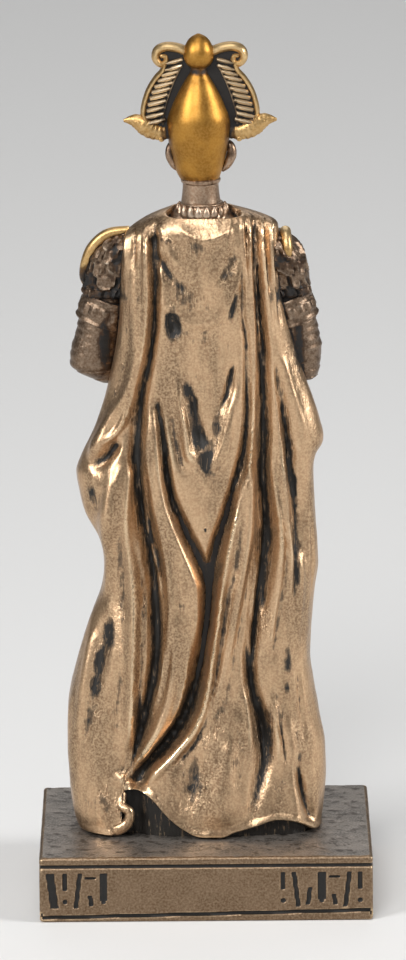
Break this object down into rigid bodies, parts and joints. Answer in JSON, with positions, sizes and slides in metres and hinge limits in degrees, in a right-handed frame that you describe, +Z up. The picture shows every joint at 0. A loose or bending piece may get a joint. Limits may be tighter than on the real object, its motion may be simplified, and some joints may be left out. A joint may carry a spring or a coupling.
{
  "type": "osiris statue",
  "caption": "Small cast figurine of Osiris, crowned and cloaked, arms folded over crook and flail, on a low oblong plinth with shallow incised sides.",
  "frame": {"origin": "centre of the plinth's underside, on the surface it stands on", "axes": "+Z up to the crown, +Y out of the figure's back, -Y where its face looks, +X to its own left hand"},
  "size_m": [0.0338, 0.026, 0.089],
  "materials": {
    "figure_bronze": "satin bronze-coloured finish over cast resin, near-black in the folds and pale gold on the ridges",
    "plinth_bronze": "darker bronze-coloured finish over cast resin, rough and grey on its top"
  },
  "bodies": {
    "root": {"figure": "figure_bronze", "plinth": "plinth_bronze"}
  },
  "joints": []
}
